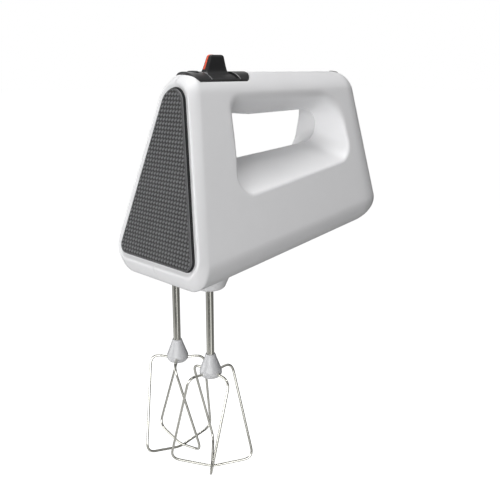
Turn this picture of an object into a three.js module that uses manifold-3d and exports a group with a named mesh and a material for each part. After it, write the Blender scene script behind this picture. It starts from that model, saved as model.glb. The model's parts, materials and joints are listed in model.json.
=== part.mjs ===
// Hand mixer: split plastic housing with a finger opening, motor, worm drive, two twisted wire beaters.
// Millimetres, +Z up, -Y to the textured front panel, +X to the right side.
// Modelled with y = 0 on the spindle plane and z = 0 on the handle top, then moved to the grip centre.
import * as THREE from "three";
import { mergeVertices } from "three/addons/utils/BufferGeometryUtils.js";
import Module from "manifold-3d";

const wasm = await Module();
wasm.setup();

// Frame
const GRIP_Y = 72;
const GRIP_Z = -15;

// Housing
const FRONT_Y = -9.2; // front face at the handle top
const FRONT_LEAN = 0.185; // y gained per mm of height
const REAR_Y = 153; // rear face at the handle top
const REAR_LEAN = -0.065;
const HANDLE_R = 17.5;
const FLANK = 0.3; // how fast the housing widens downwards
const FLOOR_Z = -131.3; // underside at the front
const FLOOR_RISE = 0.125; // underside climbs towards the rear
const FLOOR_STEP = [-25, 30, 6.75]; // steeper climb under the spindles: from y, to y, by z
const FOOT_X = 30.4; // centre of the lower corner arc
const FOOT_R = 15;
const BEVEL = 8; // depth of the convex bevel round the front
const REAR_ROUND = 13;
const WALL = 2.4;
const SEAM = 0.15; // half of the seam between the two shells
const GAP = 0.3;

// Beaters and spindles
const SPINDLE_X = 18.1;
const SHAFT_R = 2.6;
const SLEEVE_R = 5;
const BOSS_R = 10.6;
const BOSS_Z = -137.5;
const SHAFT_TOP = -83.4;
const HUB_TOP = -183.3;
const HUB_BOTTOM = -199.8;
const WIRE_R = 0.85;
const ARM_R = 19;
const LOOP_R = [29, 25.5];
const LOOP_BOTTOM = [-262, -260.5];
const CROSS_Z = [-268.6, -266];
const TWIST = (43 * Math.PI) / 180;

// Drive
const AXIS_Z = -95;
const TEETH = 28;
const STARTS = 2;
const WORM_R = 4.3;
const WHEEL_R = SPINDLE_X - WORM_R;
const LEAD = (STARTS * 2 * Math.PI * WHEEL_R) / TEETH;
const WHEEL_T = 8;
const WORM_L = 20;

// Switch saddle on the handle top
const SADDLE_R = 17.8;
const SADDLE_X = 12.3;
const DRUM_R = 16.4;
const DRUM_Y = [10.7, 33.5];

const material = (color, roughness, metalness = 0) =>
  new THREE.MeshStandardMaterial({ color, roughness, metalness });
const WHITE = material(0xdedfe1, 0.38);
const BLACK = material(0x1b1b1d, 0.42);
const PANEL = material(0x55565a, 0.62);
const ORANGE = material(0xe8603c, 0.45);
const GREY = material(0x8f9194, 0.5);
const HUB = material(0xc9cacc, 0.42);
const STEEL = material(0xc4c2ba, 0.2, 1);
const DARK_STEEL = material(0x6f7175, 0.4, 1);
const COPPER = material(0xb4673a, 0.35, 1);
const BRASS = material(0xb89a56, 0.35, 1);
const CARBON = material(0x2c2c2e, 0.8);
const NYLON = material(0xe9e4d2, 0.5);
const BOARD = material(0x2f6a44, 0.6);
const RED = material(0xa83a30, 0.5);

const root = new THREE.Group();
root.name = "hand_mixer";
root.position.set(0, -GRIP_Y, -GRIP_Z);

function solid(geometry) {
  const bare = geometry.clone();
  bare.deleteAttribute("normal");
  bare.deleteAttribute("uv");
  const merged = mergeVertices(bare, 1e-4);
  return new wasm.Manifold(
    new wasm.Mesh({
      numProp: 3,
      vertProperties: merged.attributes.position.array,
      triVerts: new Uint32Array(merged.index.array),
    }),
  );
}

function geometryOf(body) {
  const mesh = body.getMesh();
  const geometry = new THREE.BufferGeometry();
  geometry.setAttribute("position", new THREE.BufferAttribute(mesh.vertProperties, 3));
  geometry.setIndex(new THREE.BufferAttribute(mesh.triVerts, 1));
  geometry.computeVertexNormals();
  return geometry;
}

function piece(name, shape, look) {
  const geometry = shape.isBufferGeometry ? shape : geometryOf(shape);
  const mesh = new THREE.Mesh(geometry, look);
  mesh.name = name;
  root.add(mesh);
  return mesh;
}

const box = (x0, x1, y0, y1, z0, z1) =>
  solid(
    new THREE.BoxGeometry(x1 - x0, y1 - y0, z1 - z0).translate(
      (x0 + x1) / 2,
      (y0 + y1) / 2,
      (z0 + z1) / 2,
    ),
  );

// Closed profile of [radius, height] pairs turned about the axis named.
function turned(profile, axis, at, segments = 20) {
  const points = profile.map(([r, h]) => new THREE.Vector2(r, h));
  points.push(points[0].clone());
  const geometry = new THREE.LatheGeometry(points, segments);
  if (axis === "z") geometry.rotateX(Math.PI / 2);
  if (axis === "x") geometry.rotateZ(-Math.PI / 2);
  return solid(geometry.translate(...at));
}

// Cylinder or ring from h0 to h1 along an axis; inner = 0 gives a full cylinder.
const rod = (axis, at, radius, h0, h1, inner = 0, segments = 20) =>
  turned(
    [
      [inner, h0],
      [radius, h0],
      [radius, h1],
      [inner, h1],
    ],
    axis,
    at,
    segments,
  );

// Skin over rings of equal length, closed with a fan at each end.
function loft(rings) {
  const n = rings[0].length;
  const positions = rings.flat().flatMap((p) => p);
  const index = [];
  for (let i = 0; i + 1 < rings.length; i++)
    for (let j = 0; j < n; j++) {
      const a = i * n + j;
      const b = i * n + ((j + 1) % n);
      index.push(a, b, a + n, b, b + n, a + n);
    }
  const ends = [0, rings.length - 1];
  for (const e of ends) {
    const middle = [0, 1, 2].map((k) => rings[e].reduce((s, p) => s + p[k], 0) / n);
    positions.push(...middle);
    const c = positions.length / 3 - 1;
    for (let j = 0; j < n; j++) {
      const a = e * n + j;
      const b = e * n + ((j + 1) % n);
      if (e === 0) index.push(c, b, a);
      else index.push(c, a, b);
    }
  }
  const geometry = new THREE.BufferGeometry();
  geometry.setAttribute("position", new THREE.Float32BufferAttribute(positions, 3));
  geometry.setIndex(index);
  const made = solid(geometry);
  if (made.volume() > 0) return made;
  geometry.setIndex(index.reverse());
  return solid(geometry);
}

const frontY = (z) => FRONT_Y + FRONT_LEAN * z;
const rearY = (z) => REAR_Y + REAR_LEAN * z;

// Rounded A-shaped outline: one top arc, two lower corner arcs. Returns [x, z] pairs.
function outline(top, foot, arc = 6) {
  const dx = foot.x - top.x;
  const dz = foot.z - top.z;
  const span = Math.hypot(dx, dz);
  const tangent = Math.atan2(dz, dx) + Math.acos(Math.min(1, (top.r - foot.r) / span));
  const half = [];
  for (let i = 0; i <= arc; i++) {
    const a = Math.PI / 2 + ((tangent - Math.PI / 2) * i) / arc;
    half.push([top.x + top.r * Math.cos(a), top.z + top.r * Math.sin(a)]);
  }
  for (let i = 0; i <= arc; i++) {
    const a = tangent + ((-Math.PI / 2 - tangent) * i) / arc;
    half.push([foot.x + foot.r * Math.cos(a), foot.z + foot.r * Math.sin(a)]);
  }
  const flank = [half[arc], half[arc + 1]];
  const between = [0.5].map((t) => [
    flank[0][0] * (1 - t) + flank[1][0] * t,
    flank[0][1] * (1 - t) + flank[1][1] * t,
  ]);
  half.splice(arc + 1, 0, ...between);
  const mirrored = half
    .slice(1)
    .reverse()
    .map(([x, z]) => [-x, z]);
  return [...half, ...mirrored];
}

// Housing section at a station along y, shrunk by inset.
function section(y, inset, lift = 0) {
  const [start, end, climb] = FLOOR_STEP;
  const step = climb * THREE.MathUtils.clamp((y - start) / (end - start), 0, 1);
  const floor = FLOOR_Z + step + FLOOR_RISE * Math.max(0, y - end) + lift;
  const foot = {
    x: FOOT_X - FLANK * (floor - FLOOR_Z),
    z: floor + FOOT_R,
    r: FOOT_R - inset,
  };
  return outline({ x: 0, z: -HANDLE_R, r: HANDLE_R - inset }, foot);
}

// Crest of the front rim and the shallow seat inside it that carries the panel.
const crest = outline({ x: 0, z: -21.4, r: 15.5 }, { x: 31.3, z: -110, r: 11 });
const seat = outline({ x: 0, z: -20.4, r: 12 }, { x: 31.3, z: -111.4, r: 7.1 });
const onFront = (ring, depth) => ring.map(([x, z]) => [x, frontY(z) + depth, z]);

function housing(inset) {
  const rings = [];
  const body = section(FLOOR_STEP[0], inset);
  if (inset === 0) {
    rings.push(onFront(seat, 2));
    rings.push(onFront(crest, 0));
    for (const [depth, share] of [
      [0.22, 0.69],
      [0.5, 0.35],
      [0.78, 0.1],
    ]) {
      const ring = crest.map(([x, z], i) => [
        x * share + body[i][0] * (1 - share),
        z * share + body[i][1] * (1 - share),
      ]);
      rings.push(onFront(ring, depth * BEVEL));
    }
  } else {
    rings.push(onFront(section(FLOOR_STEP[0], inset + 4, 4), 2 + inset));
  }
  rings.push(onFront(body, Math.max(BEVEL, inset * 3)));
  const stations = [30, 70, 118];
  for (const y of stations) rings.push(section(y, inset).map(([x, z]) => [x, y, z]));
  const round = (z) => 16 + 10 * Math.min(1, -z / 110);
  for (const u of [0, 0.4, 0.7, 0.9, 1]) {
    const shrink = REAR_ROUND * (1 - Math.sqrt(1 - u * u * 0.98));
    const ring = section(142 + 10 * u, inset + shrink);
    rings.push(ring.map(([x, z]) => [x, rearY(z) - inset - (round(z) - inset) * (1 - u), z]));
  }
  return loft(rings);
}

// Finger opening: corner list [y, z, corner radius] rounded into a ring of points.
function rounded(corners, arc = 4) {
  const ring = [];
  const n = corners.length;
  corners.forEach(([y, z, r], i) => {
    const here = new THREE.Vector2(y, z);
    const before = corners[(i + n - 1) % n];
    const after = corners[(i + 1) % n];
    const u = new THREE.Vector2(before[0], before[1]).sub(here).normalize();
    const v = new THREE.Vector2(after[0], after[1]).sub(here).normalize();
    const half = Math.acos(u.dot(v)) / 2;
    const centre = here
      .clone()
      .add(u.clone().add(v).normalize().multiplyScalar(r / Math.sin(half)));
    const first = here.clone().add(u.multiplyScalar(r / Math.tan(half))).sub(centre);
    const last = here.clone().add(v.multiplyScalar(r / Math.tan(half))).sub(centre);
    const a0 = first.angle();
    let turn = last.angle() - a0;
    if (turn > Math.PI) turn -= 2 * Math.PI;
    if (turn < -Math.PI) turn += 2 * Math.PI;
    for (let k = 0; k <= arc; k++) {
      const a = a0 + (turn * k) / arc;
      ring.push([centre.x + r * Math.cos(a), centre.y + r * Math.sin(a)]);
    }
  });
  return ring;
}

function grown(corners, by) {
  const y = corners.reduce((s, c) => s + c[0], 0) / corners.length;
  const z = corners.reduce((s, c) => s + c[1], 0) / corners.length;
  return corners.map((c) => [c[0] + Math.sign(c[0] - y) * by, c[1] + Math.sign(c[1] - z) * by, c[2] + by * 0.6]);
}

const HOLE = [
  [24, -25.8, 9],
  [52, -28.2, 50],
  [121, -26.8, 11],
  [121, -50.2, 11],
  [26, -58, 9],
];
const RIM = [
  [22, -16.8, 10],
  [70, -16.4, 60],
  [124.5, -16.6, 22],
  [130.5, -61.5, 14],
  [12, -77.5, 11],
];
const flankX = (z) => Math.sqrt(Math.max(0, HANDLE_R ** 2 - Math.max(0, HANDLE_R + z) ** 2)) +
  Math.max(0, -HANDLE_R - z) * FLANK * 0.97;

function fingerPlug(side, offset) {
  const hole = rounded(grown(HOLE, offset));
  const rim = rounded(grown(RIM, offset));
  const ring = (s) =>
    hole.map(([y, z], i) => {
      const [ry, rz] = rim[i];
      const up = THREE.MathUtils.clamp((z + 44) / 14, -1, 1);
      const low = 1 - (1 - Math.min(s, 1)) ** 1.8;
      const high = Math.min(s, 1) ** 1.35;
      const g = low + ((high - low) * (up + 1)) / 2;
      return [side * s * (flankX(rz) + 0.4), y + (ry - y) * g, z + (rz - z) * g];
    });
  const levels = [-0.06, 0, 0.14, 0.3, 0.5, 0.7, 0.86, 1, 1.5];
  return loft(levels.map((s) => (s < 0 ? ring(0).map(([, y, z]) => [-side * 2, y, z]) : ring(s))));
}

// Plan outline of the saddle: straight flanks, bowed front and rear edges.
function saddlePrism(margin, z0, z1) {
  const shape = new THREE.Shape();
  const x = SADDLE_X + margin;
  shape.moveTo(-x, -0.8 - margin);
  shape.quadraticCurveTo(0, -8 - margin, x, -0.8 - margin);
  shape.lineTo(x, 41 + margin);
  shape.quadraticCurveTo(0, 55 + margin, -x, 41 + margin);
  shape.closePath();
  const geometry = new THREE.ExtrudeGeometry(shape, { depth: z1 - z0, bevelEnabled: false, curveSegments: 12 });
  return solid(geometry.translate(0, 0, z0));
}

// Casing screws: [y, z, head depth]. They run across the housing from the left.
const SCREWS = [
  [11.5, -44],
  [-14, -118],
  [144, -38],
  [106.5, -106.5],
  [84, -9],
];
const HEAD_X = -9;

const outer = housing(0);
const drumPocket = rod("y", [0, 0, -HANDLE_R], SADDLE_R - 1.05, DRUM_Y[0] - 0.8, DRUM_Y[1] + 0.8, 0, 36).intersect(
  box(-30, 30, 0, 40, -13, 5),
);
const bosses = [-1, 1].map((side) =>
  turned(
    [
      [0, BOSS_Z],
      [BOSS_R - 2.2, BOSS_Z],
      [BOSS_R, BOSS_Z + 2],
      [BOSS_R + 2.8, BOSS_Z + 8.5],
      [BOSS_R + 4.6, BOSS_Z + 14],
      [0, BOSS_Z + 14],
    ],
    "z",
    [side * SPINDLE_X, 0, 0],
    24,
  ),
);
let cavity = housing(WALL);
const onShoulder = (made) => made.rotate([-12, 0, 0]).translate([0, 141.5, -0.7]);
for (const side of [-1, 1]) {
  cavity = cavity.subtract(fingerPlug(side, WALL));
  cavity = cavity.subtract(rod("z", [side * SPINDLE_X, 0, 0], BOSS_R - 1.4, -145, -122));
}
for (const [y, z] of SCREWS) cavity = cavity.subtract(rod("x", [0, y, z], 3.9, -60, 60, 0, 12));

function shell(side) {
  let body = outer.add(bosses[(side + 1) / 2]).subtract(cavity);
  body = body.subtract(fingerPlug(side, 0));
  body = body.subtract(saddlePrism(GAP, -10, 30));
  body = body.subtract(drumPocket);
  body = body.subtract(rod("z", [side * SPINDLE_X, 0, 0], SLEEVE_R + GAP, -150, -100));
  body = body.subtract(rod("y", [0, 0, -88], 6.9, 146, 175));
  body = body.subtract(onShoulder(rod("z", [0, 0, 0], 3.8, -1.5, 6, 0, 20)));
  for (const [y, z] of SCREWS) {
    body = body.subtract(rod("x", [0, y, z], 1.75, -70, 12, 0, 10));
    if (side < 0) body = body.subtract(rod("x", [0, y, z], 3.1, -70, HEAD_X, 0, 12));
  }
  const keep = side > 0 ? box(SEAM, 80, -60, 220, -160, 20) : box(-80, -SEAM, -60, 220, -160, 20);
  return body.intersect(keep);
}
piece("right_shell", shell(1), WHITE);
piece("left_shell", shell(-1), WHITE);

SCREWS.forEach(([y, z], i) => {
  const profile = [
    [0, HEAD_X - 2.2],
    [2.7, HEAD_X - 2.2],
    [2.7, HEAD_X - GAP],
    [1.35, HEAD_X - GAP],
    [1.35, 11],
    [0, 11.6],
  ];
  const slot = box(HEAD_X - 3, HEAD_X - 1.4, y - 0.5, y + 0.5, z - 1.9, z + 1.9);
  piece(`casing_screw_${i + 1}`, turned(profile, "x", [0, y, z], 10).subtract(slot), DARK_STEEL);
});

// Front panel: black carrier with the textured plate on it, both parallel to the front rim.
const shrunk = (by) =>
  outline({ x: 0, z: -20.4, r: 12 - by }, { x: 31.3, z: -111.4, r: 7.1 - by });
piece("panel_carrier", loft([onFront(shrunk(0.4), 1.7), onFront(shrunk(0.8), 0.6)]), BLACK);
piece("front_panel", loft([
  onFront(shrunk(1.4), 0.3),
  onFront(shrunk(1.5), -0.5),
  onFront(shrunk(2.1), -0.9),
]), PANEL);

// Saddle, selector drum with its fin, pointer stripe and eject button.
const around = (r, y0, y1, inner = 0) => rod("y", [0, 0, -HANDLE_R], r, y0, y1, inner, 64);
const saddleRing = around(SADDLE_R, -8, 52, SADDLE_R - 2.2).intersect(saddlePrism(0, -12, 5));
const windowCut = box(-(SADDLE_X - 0.9), SADDLE_X - 0.9, DRUM_Y[0] - 0.4, DRUM_Y[1] + 0.4, -12, 5);
const rimCut = around(SADDLE_R - 1, DRUM_Y[0] - 0.4, DRUM_Y[1] + 0.4);
const BUTTON_Y = 4.2;
const ovalButton = (grow, z0, z1) => {
  const geometry = new THREE.CylinderGeometry(3 + grow, 3 + grow, z1 - z0, 16);
  geometry.rotateX(Math.PI / 2).scale(1.5, 1, 1);
  return solid(geometry.translate(0, BUTTON_Y, (z0 + z1) / 2));
};
piece(
  "switch_saddle",
  saddleRing.subtract(windowCut).subtract(rimCut).subtract(ovalButton(0.4, -10, 6)),
  BLACK,
);

const DRUM_SPREAD = (57 * Math.PI) / 180;
const wedge = new THREE.Shape();
wedge.moveTo(0, 0);
wedge.lineTo(-40 * Math.sin(DRUM_SPREAD), 40 * Math.cos(DRUM_SPREAD));
wedge.lineTo(-40, 60);
wedge.lineTo(40, 60);
wedge.lineTo(40 * Math.sin(DRUM_SPREAD), 40 * Math.cos(DRUM_SPREAD));
wedge.closePath();
const wedgeSolid = solid(
  new THREE.ExtrudeGeometry(wedge, { depth: 60, bevelEnabled: false })
    .rotateX(Math.PI / 2)
    .translate(0, 50, -HANDLE_R),
);
const finRing = (x, y0, y1, z) => {
  const r = Math.min(x, 2.2);
  return rounded(
    [
      [y0, -x, r],
      [y1, -x, r],
      [y1, x, r],
      [y0, x, r],
    ],
    3,
  ).map(([y, w]) => [w, y, z]);
};
const finBody = loft([
  finRing(4.6, 11, 33.2, -2.2),
  finRing(4.2, 12.2, 32.2, 0.2),
  finRing(3, 13.8, 31.2, 2.6),
  finRing(2.6, 16.2, 29.8, 8.9),
  finRing(1.9, 17, 29, 10.8),
]);
const stripeBox = (grow) =>
  box(-0.8 - grow, 0.8 + grow, 9, 22 + grow, 1.4 - grow, 12).subtract(
    loft([
      finRing(3.6 - grow, 14.9 + grow, 32, 0),
      finRing(3.2 - grow, 17.3 + grow, 32, 8.7 - grow),
      finRing(3 - grow, 18 + grow, 32, 10.1 - grow),
    ]),
  );
const drum = around(DRUM_R, ...DRUM_Y, DRUM_R - 1.8).intersect(wedgeSolid);
piece("speed_selector", drum.add(finBody).subtract(stripeBox(0.05)), BLACK);
piece("selector_stripe", finBody.intersect(stripeBox(-0.12)), ORANGE);
piece("contact_arm", box(-1.2, 1.2, 18, 22, -21, -3.6).add(box(-3.5, 3.5, 17, 23, -22, -21)), BRASS);
piece("switch_board", box(-7.5, 7.5, 11, 22.4, -26.2, -24.4), BOARD);

const buttonTop = ovalButton(0, -9, 0.9);
piece("eject_button", buttonTop, BLACK);
piece("push_rod", box(-2.4, 2.4, BUTTON_Y - 1.4, BUTTON_Y + 1.4, -70.7, -9.3), NYLON);
const FORK_Z = -77;
const fork = box(-SPINDLE_X - 3, SPINDLE_X + 3, -2.5, BUTTON_Y + 2.5, FORK_Z + 3, FORK_Z + 6)
  .add(rod("z", [SPINDLE_X, 0, 0], 3.6, FORK_Z, FORK_Z + 4, 0, 24))
  .add(rod("z", [-SPINDLE_X, 0, 0], 3.6, FORK_Z, FORK_Z + 4, 0, 24));
piece("ejector_fork", fork, NYLON);

class Helix extends THREE.Curve {
  constructor(radius, turns, x, y, z0, z1) {
    super();
    Object.assign(this, { radius, turns, x, y, z0, z1 });
  }
  getPoint(t) {
    const a = 2 * Math.PI * this.turns * t;
    return new THREE.Vector3(
      this.x + this.radius * Math.cos(a),
      this.y + this.radius * Math.sin(a),
      this.z0 + (this.z1 - this.z0) * t,
    );
  }
}
const circle = (r, sides) => {
  const shape = new THREE.Shape();
  for (let i = 0; i < sides; i++) {
    const a = (2 * Math.PI * i) / sides;
    if (i === 0) shape.moveTo(r, 0);
    else shape.lineTo(r * Math.cos(a), r * Math.sin(a));
  }
  shape.closePath();
  return shape;
};
const tube = (path, r, steps, sides = 8) =>
  new THREE.ExtrudeGeometry(circle(r, sides), { steps, extrudePath: path, bevelEnabled: false });
piece("eject_spring", solid(tube(new Helix(4.3, 6, 0, BUTTON_Y, -31.4, -9.8), 0.45, 54, 4)), STEEL);
piece("spring_seat", box(-9, 9, BUTTON_Y - 5.5, BUTTON_Y + 5.5, -34, -32)
  .subtract(box(-2.8, 2.8, BUTTON_Y - 1.8, BUTTON_Y + 1.8, -36, -30)), NYLON);

// Screw cap on the handle top and the bushing where a cord would enter.
const BUSHING_Y = 149.8;
const cap = turned([[0, -1.2], [3.4, -1.2], [3.4, -0.1], [2.9, 0.15], [0, 0.15]], "z", [0, 0, 0], 20);
piece("screw_cap", onShoulder(cap), GREY);
piece("cord_bushing", turned(
  [[3.4, 0], [6.5, 0], [6.5, 11], [8.4, 11.2], [8, 12.6], [4.6, 14], [3.4, 14]],
  "y", [0, BUSHING_Y, -88], 20), BLACK);

// Rotor: shaft with its two-start worm, armature, windings, commutator, fan.
function worm() {
  const sides = 16;
  const stepsPerLead = 14;
  const steps = Math.round((WORM_L / LEAD) * stepsPerLead);
  const rings = [];
  for (let i = 0; i <= steps; i++) {
    const y = -WORM_L / 2 + (WORM_L * i) / steps;
    const ring = [];
    for (let k = 0; k < sides; k++) {
      const a = (2 * Math.PI * k) / sides;
      const lobe = Math.cos(STARTS * a);
      const r = lobe > 0.75 ? 5.1 : lobe > 0.2 ? 4.1 : 3.15;
      const turn = a + (2 * Math.PI * y) / LEAD;
      ring.push([r * Math.sin(turn), y, AXIS_Z + r * Math.cos(turn)]);
    }
    rings.push(ring);
  }
  return loft(rings);
}
const onAxis = [0, 0, AXIS_Z];
piece("worm_shaft", worm().add(rod("y", onAxis, 2.5, -18.5, 106, 0, 16)), STEEL);

function slotted(y0, y1, r, slots, slotW, slotR, bore) {
  let body = rod("y", onAxis, r, y0, y1, bore, 32);
  for (let i = 0; i < slots; i++) {
    const cut = new THREE.BoxGeometry(slotW, y1 - y0 + 2, r)
      .translate(0, (y0 + y1) / 2, slotR + r / 2)
      .rotateY((2 * Math.PI * (i + 0.5)) / slots)
      .translate(0, 0, AXIS_Z);
    body = body.subtract(solid(cut));
  }
  return body;
}
piece("armature_core", slotted(43, 75, 14, 8, 2.8, 8.5, 2.8), DARK_STEEL);
piece("armature_winding_front", rod("y", onAxis, 8.4, 37.5, 42.7, 2.8, 20), COPPER);
piece("armature_winding_rear", rod("y", onAxis, 8.4, 75.3, 80.5, 2.8, 20), COPPER);
piece("commutator", slotted(83, 94, 7.4, 8, 0.6, 6.6, 2.8), COPPER);
let fan = rod("y", onAxis, 6, 22, 32, 2.8, 20);
for (let i = 0; i < 9; i++) {
  const blade = new THREE.BoxGeometry(1.1, 9, 12)
    .rotateZ(0.5)
    .translate(0, 27, 11)
    .rotateY((2 * Math.PI * i) / 9)
    .translate(0, 0, AXIS_Z);
  fan = fan.add(solid(blade));
}
piece("cooling_fan", fan, BLACK);

// Fixed motor parts.
const slotBoxes = (grow) =>
  [-1, 1].flatMap((side) => [-1, 1].map((v) => {
    const z0 = AXIS_Z + (v > 0 ? 9 : -15) - grow;
    const x0 = side > 0 ? 12 : -17;
    return box(x0 - grow, x0 + 5 + grow, 30, 90, z0, z0 + 6 + 2 * grow);
  }));
let stator = box(-23, 23, 43, 75, AXIS_Z - 18, AXIS_Z + 18).subtract(rod("y", onAxis, 14.6, 30, 90, 0, 36));
for (const cut of slotBoxes(0.4)) stator = stator.subtract(cut);
for (const side of [-1, 1])
  for (const v of [-1, 1]) {
    const corner = new THREE.BoxGeometry(9, 40, 9)
      .rotateY(Math.PI / 4)
      .translate(side * 23.5, 59, AXIS_Z + v * 18.5);
    stator = stator.subtract(solid(corner));
  }
piece("stator_core", stator, DARK_STEEL);
for (const [name, v] of [["field_coil_upper", 1], ["field_coil_lower", -1]]) {
  const z0 = AXIS_Z + (v > 0 ? 9 : -15);
  const ring = box(-17, 17, 38.5, 79.5, z0, z0 + 6).subtract(box(-12, 12, 42.7, 75.3, z0 - 1, z0 + 7));
  piece(name, ring, COPPER);
}
const plate = (y0, y1, bore) =>
  box(-20, 20, y0, y1, AXIS_Z - 14, AXIS_Z + 14)
    .subtract(box(-14, -7, y0 - 1, y1 + 1, AXIS_Z - 9, AXIS_Z + 9))
    .subtract(box(7, 14, y0 - 1, y1 + 1, AXIS_Z - 9, AXIS_Z + 9))
    .subtract(rod("y", onAxis, bore, y0 - 1, y1 + 1, 0, 20));
piece("front_bracket", plate(34.4, 36.8, 5.3), DARK_STEEL);
piece("middle_bearing", rod("y", onAxis, 5, 33.4, 37.2, 2.8, 20), BRASS);
piece("rear_bracket", plate(98, 101, 5.3), DARK_STEEL);
piece("rear_bearing", rod("y", onAxis, 5, 97.4, 102.4, 2.8, 20), BRASS);
for (const [word, side] of [["right", 1], ["left", -1]]) {
  const sorted = (a, b) => [Math.min(a, b) * 1, Math.max(a, b)];
  const [h0, h1] = sorted(side * 9.2, side * 23);
  const [c0, c1] = sorted(side * 7.8, side * 18);
  piece(
    `brush_holder_${word}`,
    box(h0, h1, 84.4, 92.6, AXIS_Z - 4.4, AXIS_Z + 4.4).subtract(
      box(h0 - 1, h1 + 1, 85.7, 91.3, AXIS_Z - 3.1, AXIS_Z + 3.1),
    ),
    BRASS,
  );
  piece(`carbon_brush_${word}`, box(c0, c1, 86, 91, AXIS_Z - 2.8, AXIS_Z + 2.8), CARBON);
}

// Gearbox: base plate, cover plate, front bearing.
const spindleHoles = (body, r) =>
  [-1, 1].reduce((b, side) => b.subtract(rod("z", [side * SPINDLE_X, 0, 0], r, -140, -60, 0, 20)), body);
piece("gearbox_base", spindleHoles(box(-34, 34, -17.5, 17.5, -107, -104), SLEEVE_R + GAP), NYLON);
piece("gearbox_cover", spindleHoles(box(-28, 28, -9, 14.5, -88, -86), SLEEVE_R + GAP), NYLON);
piece("front_bearing", rod("y", onAxis, 5, -18, -14.6, 2.8, 20), BRASS);
piece("front_bearing_block", box(-6, 6, -17.8, -14.8, -103.7, AXIS_Z + 7)
  .subtract(rod("y", onAxis, 5.3, -20, -12, 0, 20)), NYLON);

// Helical worm wheel with a hub bore, teeth twisted to follow the worm lead.
function wheel() {
  const shape = new THREE.Shape();
  const pitch = (2 * Math.PI) / TEETH;
  for (let i = 0; i < TEETH; i++)
    [
      [-0.3, 12.5],
      [-0.12, 14.5],
      [0.12, 14.5],
      [0.3, 12.5],
    ].forEach(([share, r], k) => {
      const a = (i + share) * pitch;
      if (i === 0 && k === 0) shape.moveTo(r * Math.cos(a), r * Math.sin(a));
      else shape.lineTo(r * Math.cos(a), r * Math.sin(a));
    });
  shape.closePath();
  const bore = new THREE.Path();
  bore.absarc(0, 0, SLEEVE_R + 0.15, 0, 2 * Math.PI, true);
  shape.holes.push(bore);
  const geometry = new THREE.ExtrudeGeometry(shape, { depth: WHEEL_T, steps: 1, bevelEnabled: false, curveSegments: 16 });
  geometry.translate(0, 0, -WHEEL_T / 2);
  const lead = LEAD / (2 * Math.PI * WORM_R);
  const p = geometry.attributes.position;
  for (let i = 0; i < p.count; i++) {
    const a = (p.getZ(i) * lead) / WHEEL_R;
    const x = p.getX(i);
    const y = p.getY(i);
    p.setXY(i, x * Math.cos(a) - y * Math.sin(a), x * Math.sin(a) + y * Math.cos(a));
  }
  return geometry;
}

// Beaters.
const polar = (r, a, z) => new THREE.Vector3(r * Math.cos(a), r * Math.sin(a), z);
function corner(path, before, at, after, r) {
  const a = at.clone().add(before.clone().sub(at).setLength(r));
  const b = at.clone().add(after.clone().sub(at).setLength(r));
  path.add(new THREE.LineCurve3(path.last, a));
  path.add(new THREE.QuadraticBezierCurve3(a, at, b));
  path.last = b;
}
function loopPath(size, phase, twist) {
  const start = (a) => polar(3.6, a, -197.2 + size * 1.2);
  const arm = (a) => polar(ARM_R, a, -195.4 - size * 1.8);
  const low = (a) => polar(LOOP_R[size], a + twist, LOOP_BOTTOM[size]);
  const cross = new THREE.Vector3(0, 0, CROSS_Z[size]);
  const opposite = phase + Math.PI;
  const path = new THREE.CurvePath();
  path.last = start(phase);
  corner(path, start(phase), arm(phase), low(phase), 7);
  corner(path, arm(phase), low(phase), cross, 7);
  corner(path, low(phase), cross, low(opposite), 5);
  corner(path, cross, low(opposite), arm(opposite), 7);
  corner(path, low(opposite), arm(opposite), start(opposite), 7);
  path.add(new THREE.LineCurve3(path.last, start(opposite)));
  return path;
}
for (const [word, side, phase] of [["right", 1, Math.PI / 2], ["left", -1, Math.PI / 4]]) {
  const at = [side * SPINDLE_X, 0, 0];
  const gear = wheel().translate(side * SPINDLE_X, 0, AXIS_Z);
  piece(`worm_wheel_${word}`, solid(gear), NYLON);
  piece(`spindle_sleeve_${word}`, rod("z", at, SLEEVE_R, -137, -84, SHAFT_R + 0.2, 20), STEEL);
  piece(`spindle_bush_${word}`, rod("z", at, SLEEVE_R + 3, -120.5, -115, SLEEVE_R + GAP, 20), BRASS);
  const shaft = turned(
    [
      [0, SHAFT_TOP],
      [1.6, SHAFT_TOP],
      [SHAFT_R, SHAFT_TOP - 1.2],
      [SHAFT_R, -92],
      [2.1, -92.6],
      [2.1, -94.4],
      [SHAFT_R, -95],
      [SHAFT_R, HUB_TOP - 8],
      [0, HUB_TOP - 8],
    ].reverse(),
    "z",
    at,
    16,
  );
  piece(`beater_shaft_${word}`, shaft, STEEL);
  const cuts = [];
  for (const size of [0, 1]) {
    const a = phase + (size * Math.PI) / 2;
    const path = loopPath(size, a, -side * TWIST);
    const wire = solid(tube(path, WIRE_R, 42, 5)).translate(at);
    cuts.push(solid(tube(path, WIRE_R + 0.2, 42, 5)).translate(at));
    piece(`beater_wire_${word}_${size === 0 ? "large" : "small"}`, wire, STEEL);
  }
  let hub = turned(
    [
      [SHAFT_R + 0.15, HUB_TOP],
      [3.2, HUB_TOP],
      [3.6, HUB_TOP - 0.8],
      [7.5, HUB_BOTTOM + 5],
      [7.7, HUB_BOTTOM + 2.6],
      [6, HUB_BOTTOM],
      [0, HUB_BOTTOM],
      [0, HUB_TOP - 8.3],
      [SHAFT_R + 0.15, HUB_TOP - 8.3],
    ].reverse(),
    "z",
    at,
    20,
  );
  for (const cut of cuts) hub = hub.subtract(cut);
  piece(`beater_hub_${word}`, hub, HUB);
}

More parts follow.
